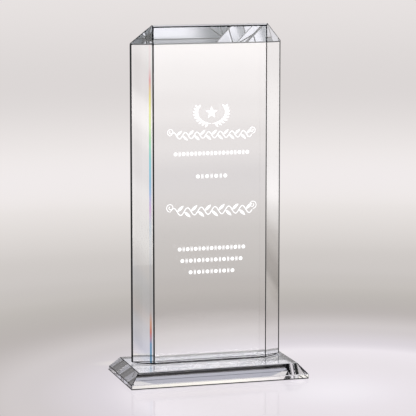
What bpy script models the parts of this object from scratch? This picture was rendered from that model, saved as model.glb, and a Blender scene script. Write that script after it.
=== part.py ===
"""Crystal award: a clear bevelled tower standing upright on a low bevelled base plate.

Three pieces are glued into one rigid object. The tower is a slab of optical crystal
whose front is a long flat face between two wide side bevels, and whose top is one
sloping cut that falls to the back. The base is a rectangular plate with a short
vertical band and four bevels. A thin film of clear adhesive joins the two.

Units are metres, +Z is up, the front faces -Y, and the origin is the middle of the
underside of the base. Nothing on the object moves.
"""

import math

import bmesh
import bpy
from mathutils import Vector

MM = 0.001

# Base plate
BASE_WIDTH = 140.0 * MM
BASE_DEPTH = 72.0 * MM
BASE_BAND_HEIGHT = 3.0 * MM        # vertical band under the bevels
BASE_BEVEL_RISE = 8.0 * MM
BASE_BEVEL_RUN = 7.2 * MM
BASE_HEIGHT = BASE_BAND_HEIGHT + BASE_BEVEL_RISE

# Tower
RIDGE_HEIGHT = 270.4 * MM          # underside of the base to the top ridge, before its edge is broken
TOWER_WIDTH = 119.2 * MM
TOWER_DEPTH = 12.7 * MM            # half-inch crystal plate
FRONT_FACE_WIDTH = 89.2 * MM       # flat front face between the two side bevels
BACK_LAND = 1.0 * MM               # upright edge left behind each side bevel
TOP_RIDGE_SETBACK = 0.86 * MM      # top ridge to the front face
TOP_RIDGE_RISE = 1.8 * MM          # front face's top edge to the ridge
TOP_FALL = 15.05 * MM              # ridge down to the back edge
GRINDING_STOCK = 5.0 * MM          # sawn block above the ridge, all of it ground away

# Joint between tower and base
FIT_GAP = 0.3 * MM                 # clearance kept between touching solids
FILM_THICKNESS = 0.2 * MM
FILM_INSET = 0.5 * MM              # film edge inside the tower's outline

# Width ground off each sharp edge, measured along its two faces
TOWER_ARRIS = 0.5 * MM
BASE_ARRIS = 0.4 * MM

ON_PLANE = 0.0001 * MM             # a corner this close to a cut lies on it

FILM_BOTTOM = BASE_HEIGHT + FIT_GAP
FILM_TOP = FILM_BOTTOM + FILM_THICKNESS
TOWER_BOTTOM = FILM_TOP + FIT_GAP
FRONT_Y = -TOWER_DEPTH / 2
BACK_Y = TOWER_DEPTH / 2
BEVEL_DEPTH = TOWER_DEPTH - BACK_LAND


def clear_scene():
    """Remove every object, mesh and spare collection of the open file."""
    for obj in list(bpy.data.objects):
        bpy.data.objects.remove(obj, do_unlink=True)
    for collection in list(bpy.data.collections):
        bpy.data.collections.remove(collection)


def new_collection(name):
    collection = bpy.data.collections.new(name)
    bpy.context.scene.collection.children.link(collection)
    return collection


def clear_material(name, colour, roughness, transmission):
    """A Principled material for one clear piece."""
    material = bpy.data.materials.new(name)
    material.use_nodes = True
    shader = material.node_tree.nodes["Principled BSDF"]
    shader.inputs["Base Color"].default_value = (*colour, 1.0)
    shader.inputs["Roughness"].default_value = roughness
    shader.inputs["Metallic"].default_value = 0.0
    shader.inputs["IOR"].default_value = 1.52
    shader.inputs["Transmission Weight"].default_value = transmission
    material.diffuse_color = (*colour, 0.4)
    return material


def block(low, high):
    """A bmesh box between two corners."""
    mesh = bmesh.new()
    bmesh.ops.create_cube(mesh, size=1.0)
    low, high = Vector(low), Vector(high)
    bmesh.ops.scale(mesh, vec=high - low, verts=mesh.verts)
    bmesh.ops.translate(mesh, vec=(low + high) / 2, verts=mesh.verts)
    return mesh


def grind(mesh, point, normal):
    """Grind a flat facet: everything beyond the plane is cut away and the cut is closed."""
    geometry = mesh.verts[:] + mesh.edges[:] + mesh.faces[:]
    normal = Vector(normal).normalized()
    cut = bmesh.ops.bisect_plane(
        mesh, geom=geometry, dist=ON_PLANE, plane_co=point, plane_no=normal, clear_outer=True
    )
    rim = [item for item in cut["geom_cut"] if isinstance(item, bmesh.types.BMEdge)]
    bmesh.ops.contextual_create(mesh, geom=rim)


def break_edges(mesh, width):
    """Grind a narrow flat arris along every edge of a convex solid."""
    bmesh.ops.recalc_face_normals(mesh, faces=mesh.faces)
    arrises = []
    for edge in mesh.edges:
        first, second = (face.normal for face in edge.link_faces)
        outward = (first + second).normalized()
        depth = width * math.sin(first.angle(second) / 2)
        arrises.append((edge.verts[0].co - outward * depth, outward))
    for point, normal in arrises:
        grind(mesh, point, normal)


def finish_piece(mesh, name, collection, material):
    """Turn a bmesh into a named object in its collection."""
    bmesh.ops.recalc_face_normals(mesh, faces=mesh.faces)
    data = bpy.data.meshes.new(name)
    mesh.to_mesh(data)
    mesh.free()
    data.materials.append(material)
    obj = bpy.data.objects.new(name, data)
    collection.objects.link(obj)


def grind_side_bevels(mesh, front_half, back_half, front_y, depth):
    """Cut the two upright side bevels of the tower's outline."""
    for side in (-1, 1):
        normal = (side * depth, front_half - back_half, 0.0)
        grind(mesh, (side * front_half, front_y, 0.0), normal)


def make_base(collection):
    """The base plate: a box whose four upper edges are ground to broad bevels."""
    half_width, half_depth = BASE_WIDTH / 2, BASE_DEPTH / 2
    mesh = block((-half_width, -half_depth, 0.0), (half_width, half_depth, BASE_HEIGHT))
    for side in (-1, 1):
        grind(
            mesh,
            (side * half_width, 0.0, BASE_BAND_HEIGHT),
            (side * BASE_BEVEL_RISE, 0.0, BASE_BEVEL_RUN),
        )
        grind(
            mesh,
            (0.0, side * half_depth, BASE_BAND_HEIGHT),
            (0.0, side * BASE_BEVEL_RISE, BASE_BEVEL_RUN),
        )
    break_edges(mesh, BASE_ARRIS)
    material = clear_material("base_crystal", (0.95, 0.96, 0.97), 0.02, 0.9)
    finish_piece(mesh, "bevelled_base", collection, material)


def make_adhesive(collection):
    """The thin film of clear adhesive under the tower, a little smaller than its outline."""
    front_half = FRONT_FACE_WIDTH / 2 - FILM_INSET
    back_half = TOWER_WIDTH / 2 - FILM_INSET
    mesh = block(
        (-back_half, FRONT_Y + FILM_INSET, FILM_BOTTOM),
        (back_half, BACK_Y - FILM_INSET, FILM_TOP),
    )
    grind_side_bevels(mesh, front_half, back_half, FRONT_Y + FILM_INSET, BEVEL_DEPTH)
    material = clear_material("clear_adhesive", (0.93, 0.95, 0.96), 0.15, 0.8)
    finish_piece(mesh, "adhesive_film", collection, material)


def make_tower(collection):
    """The upright slab: side bevels, then the sloping top cut and its narrow front ridge facet."""
    back_half = TOWER_WIDTH / 2
    top = RIDGE_HEIGHT + GRINDING_STOCK
    mesh = block((-back_half, FRONT_Y, TOWER_BOTTOM), (back_half, BACK_Y, top))
    grind_side_bevels(mesh, FRONT_FACE_WIDTH / 2, back_half, FRONT_Y, BEVEL_DEPTH)
    ridge = (0.0, FRONT_Y + TOP_RIDGE_SETBACK, RIDGE_HEIGHT)
    grind(mesh, ridge, (0.0, TOP_FALL, TOWER_DEPTH - TOP_RIDGE_SETBACK))
    grind(mesh, ridge, (0.0, -TOP_RIDGE_RISE, TOP_RIDGE_SETBACK))
    break_edges(mesh, TOWER_ARRIS)
    material = clear_material("tower_crystal", (0.97, 0.98, 0.98), 0.02, 0.95)
    finish_piece(mesh, "crystal_tower", collection, material)


def main():
    clear_scene()
    award = new_collection("crystal_award")
    make_base(award)
    make_adhesive(award)
    make_tower(award)


main()
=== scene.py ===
"""Looks of the crystal award: two blocks of clear crystal, the glue film between them, and the
sandblasted decoration on the front face, in a small bright studio with dark flags.

Everything is in metres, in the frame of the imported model. The crystal pieces are made from the
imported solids, so their facets stay where the design puts them. Only the glued faces are drawn
closer together.
"""

import math

import bmesh
import bpy
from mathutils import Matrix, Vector


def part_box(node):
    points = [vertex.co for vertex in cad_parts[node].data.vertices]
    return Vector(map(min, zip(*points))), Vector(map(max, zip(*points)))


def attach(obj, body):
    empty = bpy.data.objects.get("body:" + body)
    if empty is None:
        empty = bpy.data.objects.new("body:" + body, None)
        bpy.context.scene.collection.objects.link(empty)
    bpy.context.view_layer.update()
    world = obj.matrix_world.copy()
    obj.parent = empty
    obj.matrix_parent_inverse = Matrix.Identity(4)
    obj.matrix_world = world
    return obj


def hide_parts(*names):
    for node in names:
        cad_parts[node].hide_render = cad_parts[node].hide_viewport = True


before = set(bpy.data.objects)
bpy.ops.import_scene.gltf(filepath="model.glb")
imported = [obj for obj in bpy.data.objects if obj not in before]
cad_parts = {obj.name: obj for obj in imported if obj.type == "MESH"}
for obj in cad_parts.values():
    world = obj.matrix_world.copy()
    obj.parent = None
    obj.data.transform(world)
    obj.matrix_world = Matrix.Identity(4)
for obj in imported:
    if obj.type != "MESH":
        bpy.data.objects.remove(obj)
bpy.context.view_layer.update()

MM = 0.001

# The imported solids' boxes, from which every place below is worked out
TOWER_LOW, TOWER_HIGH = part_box("crystal_tower")
BASE_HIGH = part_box("bevelled_base")[1]
FILM_LOW, FILM_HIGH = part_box("adhesive_film")

# Camera
CAMERA_AZIMUTH = -16.3             # degrees, to the left of the front
CAMERA_ELEVATION = 8.45
CAMERA_DISTANCE = 1.643
CAMERA_TARGET = Vector((0.0, 0.0, 0.1295))
CAMERA_LENS = 186.0                # millimetres on a 36 mm sensor

# Crystal
CRYSTAL_IOR = 1.52
CONTACT_GAP = 0.02 * MM            # drawn gap left at the glued faces
MERGE = 0.001 * MM
NARROW_FACET = 1.1 * MM            # a facet no wider than this is a broken edge
FLAT_ANGLE = math.radians(0.5)     # faces that turn less than this are one facet
FACING = 0.999                     # least cosine between a facet and the way it faces
SAME_WAY = 0.9999

# Floor: a glossy pale table near the award that runs out into a soft sweep of light
TABLE_DROP = 0.3 * MM              # air under the base
SWEEP_SCALE = 1.0                  # metres, where the ring ramp is half used
FLOOR_RADIUS = 40.0
TABLE_ROUGHNESS = 0.10


def srgb(red, green, blue):
    """Linear colour of an sRGB colour given in 0 to 255."""
    def channel(value):
        value /= 255
        return value / 12.92 if value <= 0.04045 else ((value + 0.055) / 1.055) ** 2.4
    return channel(red), channel(green), channel(blue)


def direction(azimuth, elevation):
    """Unit vector of a way out from the award: azimuth from the front towards +X, in degrees."""
    turn, rise = math.radians(azimuth), math.radians(elevation)
    return Vector((
        math.sin(turn) * math.cos(rise), -math.cos(turn) * math.cos(rise), math.sin(rise)
    ))


# ---------------------------------------------------------------- node helpers

def node_material(name):
    material = bpy.data.materials.new(name)
    material.use_nodes = True
    return material, material.node_tree, material.node_tree.nodes["Principled BSDF"]


def add(tree, kind, **settings):
    """A new node with its plain properties and, by socket name, its plain input values."""
    node = tree.nodes.new(kind)
    for key, value in settings.items():
        if hasattr(node, key):
            setattr(node, key, value)
        else:
            node.inputs[key.replace("_", " ")].default_value = value
    return node


def ramp(tree, source, stops, interpolation="LINEAR"):
    """A colour ramp on a 0 to 1 value, from (position, colour) pairs."""
    node = tree.nodes.new("ShaderNodeValToRGB")
    node.color_ramp.interpolation = interpolation
    elements = node.color_ramp.elements
    elements[0].position, elements[1].position = stops[0][0], stops[-1][0]
    elements[0].color, elements[1].color = (*stops[0][1], 1.0), (*stops[-1][1], 1.0)
    for position, colour in stops[1:-1]:
        elements.new(position).color = (*colour, 1.0)
    tree.links.new(source, node.inputs["Fac"])
    return node.outputs["Color"]


def maths(tree, operation, *values):
    """A Math node fed by sockets or plain numbers."""
    node = add(tree, "ShaderNodeMath", operation=operation)
    for index, value in enumerate(values):
        if isinstance(value, (int, float)):
            node.inputs[index].default_value = value
        else:
            tree.links.new(value, node.inputs[index])
    return node.outputs[0]


# ---------------------------------------------------------------- materials

# Felt polishing leaves a waviness far finer than the eye can follow
POLISH_SCALE = 60.0
POLISH_STRENGTH = 0.05
POLISH_DEPTH = 0.02 * MM

# Painted shade on each facet, up the tower's height: bands of base colour that stand in for the light
# and shade the facets show
FACE_PAINTED_SHADE = [
    (0.00, srgb(255, 255, 255)),
    (0.05, srgb(250, 250, 249)),
    (0.12, srgb(242, 241, 240)),
    (0.20, srgb(244, 243, 243)),
    (0.30, srgb(244, 244, 244)),
    (0.40, srgb(236, 236, 236)),
    (0.55, srgb(232, 232, 232)),
    (0.66, srgb(246, 246, 246)),
    (0.75, srgb(255, 255, 255)),
    (1.00, srgb(255, 255, 255)),
]
LEFT_BEVEL_PAINTED_SHADE = [
    (0.00, srgb(255, 255, 255)),
    (0.02, srgb(240, 246, 255)),
    (0.045, srgb(216, 226, 240)),
    (0.11, srgb(238, 247, 255)),
    (0.15, srgb(255, 255, 255)),
    (0.19, srgb(243, 250, 255)),
    (0.24, srgb(238, 246, 255)),
    (0.30, srgb(252, 254, 255)),
    (1.00, srgb(255, 255, 255)),
]
RIGHT_BEVEL_PAINTED_SHADE = [
    (0.00, srgb(255, 255, 255)),
    (0.15, srgb(255, 255, 255)),
    (0.20, srgb(230, 228, 226)),
    (0.24, srgb(172, 170, 167)),
    (0.28, srgb(174, 171, 168)),
    (0.35, srgb(208, 206, 204)),
    (0.44, srgb(244, 244, 244)),
    (0.50, srgb(255, 255, 255)),
    (1.00, srgb(255, 255, 255)),
]
BASE_COLOUR = srgb(252, 252, 253)
BASE_TINT = [(0.0, BASE_COLOUR), (1.0, BASE_COLOUR)]
BEVEL_SLANT = 1.3                  # rise of the bevels' bands of painted shade across their width
BEVEL_MIDDLE = 52.1 * MM           # from the tower's middle to a side bevel's middle

# Grain of the dark-painted edges, the pale edges with painted highlight and the sandblasted surfaces,
# in noise cells per metre
EDGE_GRAIN = 1500.0
PAINTED_HIGHLIGHT_GRAIN = 900.0
BLAST_GRAIN = 1200.0

FROST_PAINTED_GLOW = 0.80                  # strength of the painted glow that the marks give off, though they are no lamp


def grain_of(tree, scale):
    """A fine speckle in the piece's own space."""
    coords = tree.nodes.new("ShaderNodeTexCoord")
    speckle = add(tree, "ShaderNodeTexNoise", Scale=scale, Detail=3.0)
    tree.links.new(coords.outputs["Object"], speckle.inputs["Vector"])
    return speckle.outputs[0]


def tower_share(tree, slant=0.0, middle=0.0):
    """0 at the foot of the tower and 1 at its top, slanted across x where asked."""
    place = tree.nodes.new("ShaderNodeNewGeometry")
    split = tree.nodes.new("ShaderNodeSeparateXYZ")
    tree.links.new(place.outputs["Position"], split.inputs[0])
    rise = maths(tree, "SUBTRACT", split.outputs["Z"], TOWER_LOW.z)
    across = maths(tree, "SUBTRACT", split.outputs["X"], middle)
    slanted = maths(tree, "MULTIPLY_ADD", across, slant, rise)
    return maths(tree, "DIVIDE", slanted, TOWER_HIGH.z - TOWER_LOW.z)


def crystal_material(name, tint_and_painted_shade, slant=0.0, middle=0.0):
    """Polished optical crystal: a tint up the tower that carries painted shade where its table has
    bands, and the faint swirl that felt polishing leaves.
    """
    material, tree, shader = node_material(name)
    colour = ramp(tree, tower_share(tree, slant, middle), tint_and_painted_shade, "EASE")
    tree.links.new(colour, shader.inputs["Base Color"])
    shader.inputs["Transmission Weight"].default_value = 1.0
    shader.inputs["IOR"].default_value = CRYSTAL_IOR
    shader.inputs["Roughness"].default_value = 0.0
    swirl = add(tree, "ShaderNodeTexNoise", Scale=POLISH_SCALE, Detail=2.0)
    coords = tree.nodes.new("ShaderNodeTexCoord")
    tree.links.new(coords.outputs["Object"], swirl.inputs["Vector"])
    bump = add(tree, "ShaderNodeBump", Strength=POLISH_STRENGTH, Distance=POLISH_DEPTH)
    tree.links.new(swirl.outputs[0], bump.inputs["Height"])
    tree.links.new(bump.outputs[0], shader.inputs["Normal"])
    return material


def painted_dark_edge_material(name):
    """Broken edges and border strips painted near black: painted shade that draws the outlines dark."""
    material, tree, shader = node_material(name)
    grain = grain_of(tree, EDGE_GRAIN)
    colour = ramp(tree, grain, [(0.0, (0.004, 0.005, 0.007)), (1.0, (0.008, 0.009, 0.011))])
    tree.links.new(colour, shader.inputs["Base Color"])
    shader.inputs["Roughness"].default_value = 0.35
    shader.inputs["Specular IOR Level"].default_value = 0.15
    return material


def painted_highlight_material(name):
    """Pale edges, half clear and half cloudy white: a painted highlight along the edges, so they look
    pale.
    """
    material, tree, shader = node_material(name)
    grain = grain_of(tree, PAINTED_HIGHLIGHT_GRAIN)
    colour = ramp(tree, grain, [(0.0, (0.92, 0.92, 0.92)), (1.0, (1.0, 1.0, 1.0))])
    tree.links.new(colour, shader.inputs["Base Color"])
    shader.inputs["Transmission Weight"].default_value = 0.5
    shader.inputs["IOR"].default_value = CRYSTAL_IOR
    shader.inputs["Roughness"].default_value = 0.45
    return material


def frosted_material(name):
    """Sandblasted crystal: a white grain, with a painted glow that stands in for the light inside the
    block.
    """
    material, tree, shader = node_material(name)
    grain = grain_of(tree, BLAST_GRAIN)
    colour = ramp(tree, grain, [(0.0, (0.45, 0.45, 0.45)), (1.0, (0.60, 0.60, 0.60))])
    glow = ramp(tree, grain, [(0.0, (0.95, 0.95, 0.95)), (1.0, (1.0, 1.0, 1.0))])
    tree.links.new(colour, shader.inputs["Base Color"])
    tree.links.new(glow, shader.inputs["Emission Color"])
    shader.inputs["Emission Strength"].default_value = FROST_PAINTED_GLOW
    shader.inputs["Roughness"].default_value = 0.9
    return material


def contact_material(name):
    """Faces in optical contact through the cured glue: light crosses them unbent."""
    material = bpy.data.materials.new(name)
    material.use_nodes = True
    tree = material.node_tree
    tree.nodes.clear()
    output = tree.nodes.new("ShaderNodeOutputMaterial")
    clear = tree.nodes.new("ShaderNodeBsdfTransparent")
    tree.links.new(clear.outputs[0], output.inputs["Surface"])
    return material


# Painted colours of the light that the left bevel splits, up the tower's height
FRINGE_COLOURS = [
    (0.00, srgb(60, 120, 165)),
    (0.060, srgb(70, 130, 180)),
    (0.095, srgb(225, 90, 70)),
    (0.125, srgb(240, 160, 120)),
    (0.16, srgb(225, 228, 232)),
    (0.36, srgb(220, 232, 246)),
    (0.41, srgb(180, 215, 245)),
    (0.46, srgb(200, 150, 230)),
    (0.51, srgb(110, 170, 250)),
    (0.60, srgb(110, 215, 235)),
    (0.66, srgb(120, 225, 150)),
    (0.72, srgb(190, 230, 90)),
    (0.79, srgb(255, 235, 90)),
    (0.84, srgb(255, 150, 150)),
    (0.88, srgb(255, 240, 240)),
    (1.00, srgb(255, 250, 250)),
]


def fringe_material(name):
    """Crystal along the left bevel's inner border, where white light splits into colours."""
    material, tree, shader = node_material(name)
    colour = ramp(tree, tower_share(tree), FRINGE_COLOURS)
    tree.links.new(colour, shader.inputs["Base Color"])
    shader.inputs["Transmission Weight"].default_value = 1.0
    shader.inputs["IOR"].default_value = CRYSTAL_IOR
    shader.inputs["Roughness"].default_value = 0.0
    return material


# ---------------------------------------------------------------- crystal pieces

def solid_of(node):
    """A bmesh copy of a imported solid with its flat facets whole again."""
    mesh = bmesh.new()
    mesh.from_mesh(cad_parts[node].data)
    bmesh.ops.remove_doubles(mesh, verts=mesh.verts, dist=MERGE)
    bmesh.ops.dissolve_limit(
        mesh, angle_limit=FLAT_ANGLE, verts=mesh.verts, edges=mesh.edges
    )
    bmesh.ops.recalc_face_normals(mesh, faces=mesh.faces)
    return mesh


def is_narrow(face):
    longest = max(edge.calc_length() for edge in face.edges)
    return face.calc_area() < NARROW_FACET * longest


def shift(mesh, below, drop):
    """Lower the corners that lie under a height."""
    for vert in mesh.verts:
        if vert.co.z < below:
            vert.co.z -= drop


def piece(mesh, name, node, materials):
    data = bpy.data.meshes.new(name)
    mesh.to_mesh(data)
    mesh.free()
    for material in materials:
        data.materials.append(material)
    obj = bpy.data.objects.new(name, data)
    bpy.context.scene.collection.objects.link(obj)
    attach(obj, "root")
    if node:
        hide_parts(node)


POLISHED, CONTACT, DARK_PAINTED_EDGE, PAINTED_HIGHLIGHT_EDGE, FRINGE, LEFT_BEVEL, RIGHT_BEVEL = range(7)
RIDGE_FACET_ELEVATION = 25.5       # degrees, the narrow facet over the front face
BEVEL_AZIMUTH = 38.0               # degrees that the side bevels turn from the front
FOOT_REACH = 2 * MM                # corners this close to the tower's foot belong to it

# Widths of the strips of painted shade along the tower's borders, and the place of the strip of painted
# split light
TOP_BORDER = 0.5 * MM
LEFT_OUTER_BORDER, LEFT_INNER_BORDER = 0.9 * MM, 0.3 * MM
RIGHT_OUTER_BORDER = 1.2 * MM
BACK_BORDER = 0.6 * MM
FRINGE_FROM, FRINGE_TO = 1.4 * MM, 3.2 * MM


def facet(mesh, azimuth, elevation):
    """The broad facet that faces a way."""
    way = direction(azimuth, elevation)
    facing = [face for face in mesh.faces if face.normal.dot(way) > FACING]
    return max(facing, key=lambda face: face.calc_area())


def line_strips(mesh, outline, border_way, strips):
    """Give strips of a facet along one of its borders their own material slots.

    The border is the one that looks most towards border_way. Each strip is (from, to, slot),
    measured inwards from the border.
    """
    normal, middle = outline.normal.copy(), outline.calc_center_median()
    best = None
    for loop in outline.loops:
        start, end = loop.vert.co.copy(), loop.link_loop_next.vert.co.copy()
        inward = normal.cross(end - start).normalized()
        if inward.dot(middle - start) < 0:
            inward.negate()
        if best is None or inward.dot(border_way) < best[1].dot(border_way):
            best = (start, inward)
    start, inward = best
    plane = normal.dot(start)
    for depth in sorted({limit for strip in strips for limit in strip[:2] if limit > 0}):
        faces = [f for f in mesh.faces if on_plane(f, normal, plane)]
        geometry = {item for face in faces for item in (*face.verts, *face.edges)} | set(faces)
        bmesh.ops.bisect_plane(
            mesh, geom=list(geometry), dist=MERGE,
            plane_co=start + inward * depth, plane_no=inward,
        )
    for face in mesh.faces:
        if on_plane(face, normal, plane):
            depth = inward.dot(face.calc_center_median() - start)
            for low, high, slot in strips:
                if low < depth < high:
                    face.material_index = slot


def on_plane(face, normal, plane):
    return face.normal.dot(normal) > SAME_WAY and abs(normal.dot(face.verts[0].co) - plane) < MERGE


def make_tower(materials):
    mesh = solid_of("crystal_tower")
    shift(mesh, TOWER_LOW.z + FOOT_REACH, TOWER_LOW.z - FILM_HIGH.z - CONTACT_GAP)
    for face in mesh.faces:
        if face.normal.z < -FACING:
            face.material_index = CONTACT
        # Narrow facets get painted shade: drawn near black
        elif is_narrow(face):
            face.material_index = DARK_PAINTED_EDGE
    # The ridge facet gets a painted highlight: it is drawn pale
    facet(mesh, 0.0, RIDGE_FACET_ELEVATION).material_index = PAINTED_HIGHLIGHT_EDGE
    up, left, right = Vector((0.0, 0.0, 1.0)), Vector((-1.0, 0.0, 0.0)), Vector((1.0, 0.0, 0.0))
    for azimuth, slot, borders in (
        (-BEVEL_AZIMUTH, LEFT_BEVEL, [
            (up, [(0.0, TOP_BORDER, DARK_PAINTED_EDGE)]),
            (left, [(0.0, LEFT_OUTER_BORDER, DARK_PAINTED_EDGE)]),
            (right, [(0.0, LEFT_INNER_BORDER, DARK_PAINTED_EDGE), (FRINGE_FROM, FRINGE_TO, FRINGE)]),
        ]),
        (BEVEL_AZIMUTH, RIGHT_BEVEL, [
            (up, [(0.0, TOP_BORDER, DARK_PAINTED_EDGE)]),
            (right, [(0.0, RIGHT_OUTER_BORDER, DARK_PAINTED_EDGE)]),
        ]),
        (180.0, POLISHED, [
            (left, [(0.0, BACK_BORDER, DARK_PAINTED_EDGE)]),
            (right, [(0.0, BACK_BORDER, DARK_PAINTED_EDGE)]),
        ]),
    ):
        facet(mesh, azimuth, 0.0).material_index = slot
        for way, strips in borders:
            line_strips(mesh, facet(mesh, azimuth, 0.0), way, strips)
    piece(mesh, "tower_crystal_block", "crystal_tower", materials)


def joint_outline():
    """Upright planes round the tower's flat underside, as (point, outward normal) pairs."""
    mesh = solid_of("crystal_tower")
    underside = max((f for f in mesh.faces if f.normal.z < -FACING), key=lambda f: f.calc_area())
    middle = underside.calc_center_median()
    planes = []
    for edge in underside.edges:
        start, end = (vert.co.copy() for vert in edge.verts)
        outward = (end - start).cross(Vector((0.0, 0.0, 1.0))).normalized()
        if outward.dot(start - middle) < 0:
            outward.negate()
        planes.append((start, outward))
    mesh.free()
    return planes


def is_dark_arris(way):
    """Whether an arris of the base gets painted shade (dark) rather than a painted highlight (pale):
    those at its ends, and the one under its front.
    """
    return abs(way.x) > 0.3 or (way.z < -0.3 and way.y < 0.3)


def make_base(materials):
    mesh = solid_of("bevelled_base")
    planes = joint_outline()
    for point, normal in planes:
        top = [face for face in mesh.faces if face.normal.z > FACING]
        geometry = {item for face in top for item in (*face.verts, *face.edges)} | set(top)
        bmesh.ops.bisect_plane(
            mesh, geom=list(geometry), dist=MERGE, plane_co=point, plane_no=normal
        )
    for face in mesh.faces:
        middle = face.calc_center_median()
        if face.normal.z > FACING and all((middle - p).dot(n) < 0 for p, n in planes):
            face.material_index = CONTACT
        elif is_narrow(face):
            face.material_index = DARK_PAINTED_EDGE if is_dark_arris(face.normal) else PAINTED_HIGHLIGHT_EDGE
    piece(mesh, "base_crystal_plate", "bevelled_base", materials)


def make_film(materials):
    mesh = solid_of("adhesive_film")
    middle = (FILM_LOW.z + FILM_HIGH.z) / 2
    shift(mesh, middle, FILM_LOW.z - BASE_HIGH.z - CONTACT_GAP)
    for face in mesh.faces:
        if abs(face.normal.z) > FACING:
            face.material_index = CONTACT
    piece(mesh, "glue_film", "adhesive_film", materials)


# ---------------------------------------------------------------- sandblasted decoration

MARK_X = 1.0 * MM                  # the decoration's middle line on the front face
MARK_LIFT = 0.02 * MM              # the marks are drawn this far in front of the polish
STEM_WIDTH = 0.7 * MM
RIBBON_TIP = 0.35                  # width of a stroke's ends, as a share of its width
LEAF_STEPS = 8
LEAF_FULLNESS = 0.8

# Emblem
EMBLEM_Z = 202.5 * MM
EMBLEM_LIFT = 1.0 * MM             # its star and sprays stand this much over EMBLEM_Z
STAR_RADIUS = 5.0 * MM
STAR_WAIST = 0.42                  # inner corners, as a share of the radius
SPRAY_WIDTH, SPRAY_HEIGHT = 11.5 * MM, 8.5 * MM    # half axes of the oval that the sprays follow
SPRAY_STEM = 0.6 * MM
SPRAY_START, SPRAY_STEP = -88, 12  # degrees round the oval
SPRAY_POINTS = 10
LAUREL_LENGTH, LAUREL_WIDTH = 3.8 * MM, 1.5 * MM
LAUREL_START, LAUREL_STEP = -80, 14    # degrees, the lie of the stem at each of its points
LAUREL_SPREADS = (28, 92)          # degrees that each point's two leaves turn out from it

# Vine: lengths in shares of its row's height, angles in degrees
VINE_CURL = 0.26
VINE_WAVE = 0.22
VINE_HALF_WAVE = 0.42
VINE_LEAF_LENGTH, VINE_LEAF_WIDTH = 0.52, 0.17
VINE_LEAF_ANGLE = 42
VINE_STEPS = 96
VOLUTE_STEPS = 30
VOLUTE_START, VOLUTE_TURN = -90, 520
VOLUTE_CLOSE = 0.8                 # how far the volute's reach shrinks
VOLUTE_STEM = 0.75                 # of STEM_WIDTH

# Bead-and-reel: lengths in shares of its row's height
BEAD_PITCH = 1.55
BEAD_RADIUS = 0.36
BEAD_CORNERS = 20
REEL_OFFSET = 0.11
REEL_WIDTH = 0.16

# Rows of the decoration from the top: (kind, height of its middle, width, height)
ROWS = [
    ("vine", 186.5 * MM, 70 * MM, 11 * MM),
    ("beads", 172.5 * MM, 63 * MM, 4.2 * MM),
    ("beads", 155 * MM, 29 * MM, 4.2 * MM),
    ("vine", 128.5 * MM, 72 * MM, 13 * MM),
    ("beads", 99.5 * MM, 57 * MM, 4.2 * MM),
    ("beads", 90.5 * MM, 53 * MM, 4.2 * MM),
    ("beads", 81.5 * MM, 40 * MM, 4.2 * MM),
]


def mark(mesh, points, layer=0):
    """One flat mark on the front face from its (x, z) outline, facing the front."""
    y = TOWER_LOW.y - MARK_LIFT * (1 + layer)
    face = mesh.faces.new([mesh.verts.new((MARK_X + x, y, z)) for x, z in points])
    face.normal_update()
    if face.normal.y > 0:
        face.normal_flip()


def ribbon(mesh, path, width, layer=0):
    """A stroke of even width along a path of (x, z) points, tapered at both ends."""
    sides = []
    last = len(path) - 1
    for index, (x, z) in enumerate(path):
        before, after = path[max(index - 1, 0)], path[min(index + 1, last)]
        way = Vector((after[0] - before[0], after[1] - before[1])).normalized()
        half = width / 2 * (RIBBON_TIP if index in (0, last) else 1.0)
        sides.append(((x - way.y * half, z + way.x * half), (x + way.y * half, z - way.x * half)))
    for (a, b), (c, d) in zip(sides, sides[1:]):
        mark(mesh, [a, b, d, c], layer)


def leaf(mesh, x, z, length, width, angle, layer=1):
    """A pointed leaf from its stalk at (x, z), along an angle in degrees from +X."""
    turn = math.radians(angle)
    rim = [
        (t / LEAF_STEPS, width / 2 * math.sin(math.pi * t / LEAF_STEPS) ** LEAF_FULLNESS)
        for t in range(LEAF_STEPS + 1)
    ]
    rim += [(t, -half) for t, half in rim[-2:0:-1]]
    mark(mesh, [
        (
            x + t * length * math.cos(turn) - side * math.sin(turn),
            z + t * length * math.sin(turn) + side * math.cos(turn),
        )
        for t, side in rim
    ], layer)


def star(mesh, x, z, radius):
    points = []
    for corner in range(10):
        reach = radius if corner % 2 == 0 else radius * STAR_WAIST
        turn = math.pi / 2 + math.pi * corner / 5
        points.append((x + reach * math.cos(turn), z + reach * math.sin(turn)))
    mark(mesh, points, 1)


def emblem(mesh, z):
    """A five-pointed star between two laurel sprays."""
    middle = z + EMBLEM_LIFT
    star(mesh, 0.0, middle, STAR_RADIUS)
    angles = [math.radians(SPRAY_START + SPRAY_STEP * step) for step in range(SPRAY_POINTS)]
    for side in (-1, 1):
        stem = [
            (side * SPRAY_WIDTH * math.cos(a), middle + SPRAY_HEIGHT * math.sin(a)) for a in angles
        ]
        ribbon(mesh, stem, SPRAY_STEM)
        for index, (x, height) in enumerate(stem[1:]):
            along = LAUREL_START + LAUREL_STEP * index
            for spread in LAUREL_SPREADS:
                turn = along + spread if side > 0 else 180 - along - spread
                leaf(mesh, x, height, LAUREL_LENGTH, LAUREL_WIDTH, turn)


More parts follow.
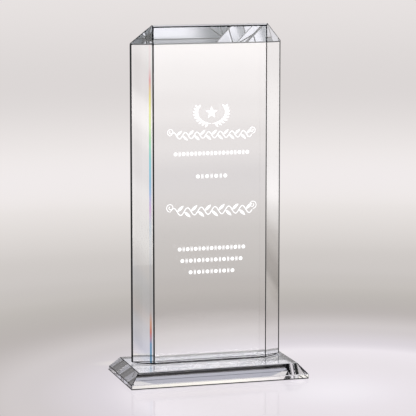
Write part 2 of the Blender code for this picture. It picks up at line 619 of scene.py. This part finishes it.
def vine(mesh, z, width, height):
    """A running scroll: a waved stem, a leaf where it crosses its middle, a volute at each end."""
    curl = VINE_CURL * height
    half = width / 2 - curl
    turns = 2 * round(half / (VINE_HALF_WAVE * height))
    shares = [step / VINE_STEPS for step in range(VINE_STEPS + 1)]
    wave = [
        (half * (2 * t - 1), z + VINE_WAVE * height * math.sin(math.pi * turns * t)) for t in shares
    ]
    ribbon(mesh, wave, STEM_WIDTH)
    for index in range(1, turns):
        x = half * (2 * index / turns - 1)
        up = 1 if index % 2 else -1
        leaf(mesh, x, z, VINE_LEAF_LENGTH * height, VINE_LEAF_WIDTH * height, up * VINE_LEAF_ANGLE)
    for side in (-1, 1):
        volute = []
        for step in range(VOLUTE_STEPS + 1):
            share = step / VOLUTE_STEPS
            reach = curl * (1 - VOLUTE_CLOSE * share)
            turn = math.radians(VOLUTE_START + VOLUTE_TURN * share)
            volute.append((
                side * (half + reach * math.cos(turn)), z + curl + reach * math.sin(turn)
            ))
        ribbon(mesh, volute, VOLUTE_STEM * STEM_WIDTH, 2)


def beads(mesh, z, width, height):
    """A bead-and-reel row: round beads with a pair of slim upright reels between them."""
    count = round(width / (BEAD_PITCH * height))
    radius = BEAD_RADIUS * height
    for index in range(count):
        x = (index - (count - 1) / 2) * width / count
        mark(mesh, [
            (x + radius * math.cos(a), z + radius * math.sin(a))
            for a in (math.tau * corner / BEAD_CORNERS for corner in range(BEAD_CORNERS))
        ])
        for offset in (-REEL_OFFSET, REEL_OFFSET):
            middle = x + width / count / 2 + offset * height
            if index < count - 1:
                leaf(mesh, middle, z - height / 2, height, REEL_WIDTH * height, 90, 0)


def make_decoration(frosted):
    """Each row is a piece of its own on the front face."""
    shapes = {"vine": vine, "beads": beads}
    mesh = bmesh.new()
    emblem(mesh, EMBLEM_Z)
    piece(mesh, "etched_emblem", None, [frosted])
    for index, (kind, z, width, height) in enumerate(ROWS):
        mesh = bmesh.new()
        shapes[kind](mesh, z, width, height)
        piece(mesh, "etched_%s_%d" % (kind, index + 1), None, [frosted])


# ---------------------------------------------------------------- studio

def make_camera():
    back = direction(CAMERA_AZIMUTH, CAMERA_ELEVATION)
    data = bpy.data.cameras.new("camera")
    data.lens = CAMERA_LENS
    data.sensor_width = 36.0
    data.clip_start = 0.01
    camera = bpy.data.objects.new("camera", data)
    camera.location = CAMERA_TARGET + back * CAMERA_DISTANCE
    camera.rotation_euler = back.to_track_quat("Z", "Y").to_euler()
    bpy.context.scene.collection.objects.link(camera)
    bpy.context.scene.camera = camera


def softbox(name, place, aim, width, height, watts):
    data = bpy.data.lights.new(name, "AREA")
    data.shape = "RECTANGLE"
    data.size, data.size_y = width, height
    data.energy = watts
    light = bpy.data.objects.new(name, data)
    light.location = place
    light.rotation_euler = (Vector(place) - Vector(aim)).to_track_quat("Z", "Y").to_euler()
    light.visible_glossy = False
    light.visible_transmission = False
    bpy.context.scene.collection.objects.link(light)


# Light of the sweep by distance from the middle of the pool of light, as r / (r + SWEEP_SCALE)
SWEEP_MIDDLE = (0.074, -0.080)
RINGS = [
    (0.000, srgb(226, 221, 227)),
    (0.029, srgb(222, 217, 223)),
    (0.048, srgb(218, 212, 218)),
    (0.088, srgb(215, 209, 214)),
    (0.145, srgb(220, 214, 220)),
    (0.177, srgb(210, 204, 206)),
    (0.200, srgb(206, 200, 200)),
    (0.230, srgb(189, 183, 181)),
    (0.270, srgb(189, 184, 180)),
    (0.296, srgb(196, 191, 187)),
    (0.333, srgb(203, 198, 195)),
    (0.398, srgb(213, 208, 205)),
    (0.487, srgb(233, 228, 226)),
    (0.541, srgb(240, 235, 235)),
    (0.610, srgb(235, 230, 229)),
    (0.710, srgb(220, 215, 214)),
    (0.850, srgb(231, 226, 225)),
    (1.000, srgb(235, 230, 229)),
]
TABLE_RADIUS, SWEEP_RADIUS = 0.11, 0.18    # glossy table inside, pure light outside
TABLE_GLOW = 0.55                  # least share of pure light in the table's look
GREY = (0.10, 0.10, 0.10)
# Painted shade of the table under the base
UNDER_BASE_PAINTED_SHADE = srgb(214, 214, 222)
UNDER_TOWER = srgb(78, 84, 90)     # the deepest shade under the tower, towards its right end
CONTACT_SHADOW = srgb(10, 10, 12)
SHADOW_BACK = 3.5 * MM             # how far the shadow reaches behind the base
SHADOW_FRONT = 0.2 * MM
SHADOW_WIDTH = 6.5 * MM
SHADOW_EDGE = (-0.3 * MM, 0.2 * MM)    # its outline's softness, outwards and inwards
SHADOW_FADE = 4 * MM               # over which its inner side clears
SHADE_RIGHT = (26 * MM, 56 * MM)   # x where the shade to the right starts and is full
SHADE_BACK = (0.0, 6 * MM)         # the same in y, for the shade along the back
SHADE_BACK_SHARE = 0.7
SHADE_MIDDLE = 1 * MM              # y of the shade's middle line
SHADE_REACH = (9 * MM, 7 * MM)     # distance from that line where it starts and is full
POOL_MIDDLE = (0.005, 0.058)       # light thrown on the table behind the base
POOL_REACH = (0.090, 0.020)
POOL_COLOUR = srgb(250, 245, 234)


def smooth_share(tree, source, start, end):
    """0 at start, 1 at end, and smooth between."""
    node = add(tree, "ShaderNodeMapRange", interpolation_type="SMOOTHSTEP")
    node.inputs["From Min"].default_value = start
    node.inputs["From Max"].default_value = end
    tree.links.new(source, node.inputs["Value"])
    return node.outputs[0]


def mixed(tree, share, first, second):
    """First colour where the share is 0, second where it is 1."""
    node = add(tree, "ShaderNodeMix", data_type="RGBA")
    tree.links.new(share, node.inputs["Factor"])
    for name, colour in (("A", first), ("B", second)):
        socket = next(s for s in node.inputs if s.name == name and s.type == "RGBA")
        if isinstance(colour, tuple):
            socket.default_value = (*colour, 1.0)
        else:
            tree.links.new(colour, socket)
    return next(s for s in node.outputs if s.type == "RGBA")


def table_place(tree):
    """The floor point's x and y, and its distance from the middle of the pool of light."""
    split = tree.nodes.new("ShaderNodeSeparateXYZ")
    place = tree.nodes.new("ShaderNodeNewGeometry")
    tree.links.new(place.outputs["Position"], split.inputs[0])
    x, y = split.outputs["X"], split.outputs["Y"]
    across, along = (maths(tree, "SUBTRACT", v, m) for v, m in zip((x, y), SWEEP_MIDDLE))
    radius = maths(tree, "SQRT", maths(
        tree, "ADD", maths(tree, "MULTIPLY", across, across), maths(tree, "MULTIPLY", along, along)
    ))
    return x, y, radius


def ellipse_share(tree, x, y, middle, reach):
    """1 in the middle of an ellipse, falling smoothly to 0 at its outline."""
    parts = []
    for value, centre, half in ((x, middle[0], reach[0]), (y, middle[1], reach[1])):
        part = maths(tree, "DIVIDE", maths(tree, "SUBTRACT", value, centre), half)
        parts.append(maths(tree, "MULTIPLY", part, part))
    far = maths(tree, "SQRT", maths(tree, "ADD", *parts))
    return smooth_share(tree, far, 1.0, 0.3)


def shadow_distance(tree, x, y):
    """Metres inside the outline of the shadow's rectangle, negative outside it."""
    middle_y = (SHADOW_BACK - SHADOW_FRONT) / 2
    half_y = BASE_HIGH.y + (SHADOW_BACK + SHADOW_FRONT) / 2
    beyond_x = maths(tree, "SUBTRACT", maths(tree, "ABSOLUTE", x), BASE_HIGH.x)
    offset = maths(tree, "ABSOLUTE", maths(tree, "SUBTRACT", y, middle_y))
    beyond_y = maths(tree, "SUBTRACT", offset, half_y)
    return maths(tree, "MULTIPLY", maths(tree, "MAXIMUM", beyond_x, beyond_y), -1.0)


def tower_shade(tree, x, y):
    """Share of shade under the tower: deeper to the right and along its back edge."""
    right = smooth_share(tree, x, *SHADE_RIGHT)
    back = maths(tree, "MULTIPLY", smooth_share(tree, y, *SHADE_BACK), SHADE_BACK_SHARE)
    off_middle = maths(tree, "ABSOLUTE", maths(tree, "SUBTRACT", y, SHADE_MIDDLE))
    below_tower = smooth_share(tree, off_middle, *SHADE_REACH)
    return maths(tree, "MULTIPLY", maths(tree, "MAXIMUM", right, back), below_tower)


def make_floor():
    """The table and the sweep behind it, with their light, pool, contact shadow and shade under the
    base painted into their glow, and no sheen on the table inside the contact shadow.
    """
    bpy.ops.mesh.primitive_circle_add(vertices=96, radius=FLOOR_RADIUS, fill_type="NGON")
    floor = bpy.context.object
    floor.name = "floor"
    floor.location.z = -TABLE_DROP
    material, tree, shader = node_material("pale_sweep")
    shader.inputs["Roughness"].default_value = TABLE_ROUGHNESS
    shader.inputs["Emission Strength"].default_value = 1.0
    x, y, radius = table_place(tree)
    rings = ramp(tree, maths(
        tree, "DIVIDE", radius, maths(tree, "ADD", radius, SWEEP_SCALE)
    ), RINGS, "CARDINAL")
    pool = ellipse_share(tree, x, y, POOL_MIDDLE, POOL_REACH)
    lit = mixed(tree, pool, rings, POOL_COLOUR)
    depth = shadow_distance(tree, x, y)
    covered = smooth_share(tree, depth, *SHADOW_EDGE)
    shaded = mixed(tree, covered, lit, CONTACT_SHADOW)
    inner = smooth_share(tree, depth, SHADOW_WIDTH, SHADOW_WIDTH + SHADOW_FADE)
    under = mixed(tree, tower_shade(tree, x, y), UNDER_BASE_PAINTED_SHADE, UNDER_TOWER)
    near = mixed(tree, inner, shaded, under)
    tree.links.new(near, shader.inputs["Emission Color"])
    grey = mixed(tree, covered, GREY, CONTACT_SHADOW)
    tree.links.new(grey, shader.inputs["Base Color"])
    glow = tree.nodes.new("ShaderNodeEmission")
    tree.links.new(near, glow.inputs["Color"])
    blend = tree.nodes.new("ShaderNodeMixShader")
    far = smooth_share(tree, radius, TABLE_RADIUS, SWEEP_RADIUS)
    dull = maths(tree, "SUBTRACT", covered, inner)
    share = maths(tree, "MAXIMUM", maths(tree, "MAXIMUM", far, TABLE_GLOW), dull)
    tree.links.new(share, blend.inputs["Fac"])
    tree.links.new(shader.outputs[0], blend.inputs[1])
    tree.links.new(glow.outputs[0], blend.inputs[2])
    tree.links.new(blend.outputs[0], tree.nodes["Material Output"].inputs["Surface"])
    floor.data.materials.append(material)


# Light of the room by the height of the direction, 0 straight down to 1 straight up
SKY = [
    (0.00, srgb(200, 196, 196)),
    (0.50, srgb(235, 230, 229)),
    (0.58, srgb(236, 232, 231)),
    (0.64, srgb(225, 222, 224)),
    (0.72, srgb(190, 190, 200)),
    (0.80, srgb(184, 184, 194)),
    (0.90, srgb(150, 150, 160)),
    (0.95, srgb(60, 60, 66)),
    (1.00, srgb(50, 50, 56)),
]


def make_world():
    world = bpy.data.worlds.new("studio")
    world.use_nodes = True
    tree = world.node_tree
    coords = tree.nodes.new("ShaderNodeTexCoord")
    split = tree.nodes.new("ShaderNodeSeparateXYZ")
    tree.links.new(coords.outputs["Generated"], split.inputs[0])
    height = maths(tree, "MULTIPLY_ADD", split.outputs["Z"], 0.5, 0.5)
    tree.links.new(ramp(tree, height, SKY), tree.nodes["Background"].inputs["Color"])
    bpy.context.scene.world = world


CARD_PIVOT = Vector((0.0, 0.0, 0.1))   # the cards are set out round this point


def card(name, azimuth, elevation, distance, width, height, stops, slant=0.0, foot=None):
    """A studio card facing the award, its azimuth from +Y towards +X.

    Its light is a ramp of (share of height, strength) pairs, slanted across its width.
    With foot given, the card's lower edge stands at that height instead.
    """
    away = direction(180.0 - azimuth, elevation)
    bpy.ops.mesh.primitive_grid_add(x_subdivisions=1, y_subdivisions=1, size=1.0)
    flag = bpy.context.object
    flag.name = name
    flag.scale = (width, height, 1.0)
    flag.location = CARD_PIVOT + away * distance
    if foot is not None:
        flag.location.z = foot + height / 2
    flag.rotation_euler = (-away).to_track_quat("Z", "Y").to_euler()
    material, tree, _ = node_material(name + "_light")
    place = tree.nodes.new("ShaderNodeTexCoord")
    split = tree.nodes.new("ShaderNodeSeparateXYZ")
    tree.links.new(place.outputs["Generated"], split.inputs[0])
    across = maths(tree, "SUBTRACT", split.outputs["X"], 0.5)
    share = maths(tree, "MULTIPLY_ADD", across, -slant * width / height, split.outputs["Y"])
    strongest = max(strength for _, strength in stops)
    grey = [(at, (strength / strongest,) * 3) for at, strength in stops]
    glow = tree.nodes.new("ShaderNodeEmission")
    glow.inputs["Strength"].default_value = strongest
    tree.links.new(ramp(tree, share, grey, "EASE"), glow.inputs["Color"])
    tree.links.new(glow.outputs[0], tree.nodes["Material Output"].inputs["Surface"])
    flag.data.materials.append(material)
    flag.visible_camera = False
    return flag


def make_cards():
    """Cards low round the award that its facets mirror, and black flags for its dark edges."""
    front = [
        (0.00, 0.8), (0.08, 0.82), (0.23, 1.6), (0.35, 3.2), (0.47, 5.0), (0.60, 6.2), (1.00, 6.5),
    ]
    left = [
        (0.00, 1.6), (0.11, 3.9), (0.19, 3.2), (0.28, 2.6), (0.38, 0.6), (0.46, 0.4),
        (0.52, 2.2), (0.60, 5.0), (0.65, 4.6), (0.71, 2.0), (0.80, 1.7), (0.88, 3.3), (1.00, 3.3),
    ]
    right = [(0.0, 0.9), (0.06, 1.5), (0.16, 2.9), (0.34, 2.0), (0.58, 3.0), (0.76, 2.2), (1.0, 2.2)]
    black = [(0.0, 0.02), (1.0, 0.02)]
    for mirrored in (
        card("front_card", 180.0 + CAMERA_AZIMUTH, 0.0, 1.0, 0.46, 0.3, front, 0.0, 0.0),
        card("left_card", -115.8, 0.0, 0.546, 0.20, 0.25, left, 0.8, 0.0),
        card("right_card", 86.0, 0.0, 0.75, 0.70, 0.25, right, 0.0, 0.0),
    ):
        mirrored.visible_transmission = False
    card("rear_right_flag", 67.0, 17.0, 1.5, 1.0, 0.6, black)
    card("rear_left_flag", -41.0, 14.0, 1.5, 0.5, 0.4, black)


def make_lights():
    middle = (0.0, 0.0, 0.12)
    softbox("left_softbox", (-1.2, -0.3, 1.0), middle, 0.8, 1.2, 12)
    softbox("right_softbox", (1.3, -0.1, 1.3), middle, 0.6, 1.2, 10)


def render_quality():
    """Enough bounces for light to cross the stacked crystal facets."""
    cycles = bpy.context.scene.cycles
    cycles.max_bounces = 40
    cycles.transmission_bounces = 40
    cycles.glossy_bounces = 40
    cycles.transparent_max_bounces = 16
    cycles.diffuse_bounces = 3
    cycles.use_denoising = True
    bpy.context.scene.view_settings.view_transform = "Standard"


make_camera()
render_quality()
make_world()
make_floor()
make_lights()
make_cards()
# The facets' base colours carry painted shade, in bands up the tower
polished = crystal_material("polished_crystal", FACE_PAINTED_SHADE)
left_bevel = crystal_material("left_bevel_crystal", LEFT_BEVEL_PAINTED_SHADE, BEVEL_SLANT, -BEVEL_MIDDLE)
right_bevel = crystal_material("right_bevel_crystal", RIGHT_BEVEL_PAINTED_SHADE, BEVEL_SLANT, BEVEL_MIDDLE)
base_crystal = crystal_material("base_polished_crystal", BASE_TINT)
fringe = fringe_material("split_light")
edges = painted_dark_edge_material("broken_edges_painted_dark")
painted_highlight_edges = painted_highlight_material("soft_edges_painted_highlight")
contact = contact_material("optical_contact")
make_tower([polished, contact, edges, painted_highlight_edges, fringe, left_bevel, right_bevel])
make_base([base_crystal, contact, edges, painted_highlight_edges])
make_film([base_crystal, contact])
make_decoration(frosted_material("sandblasted_crystal"))
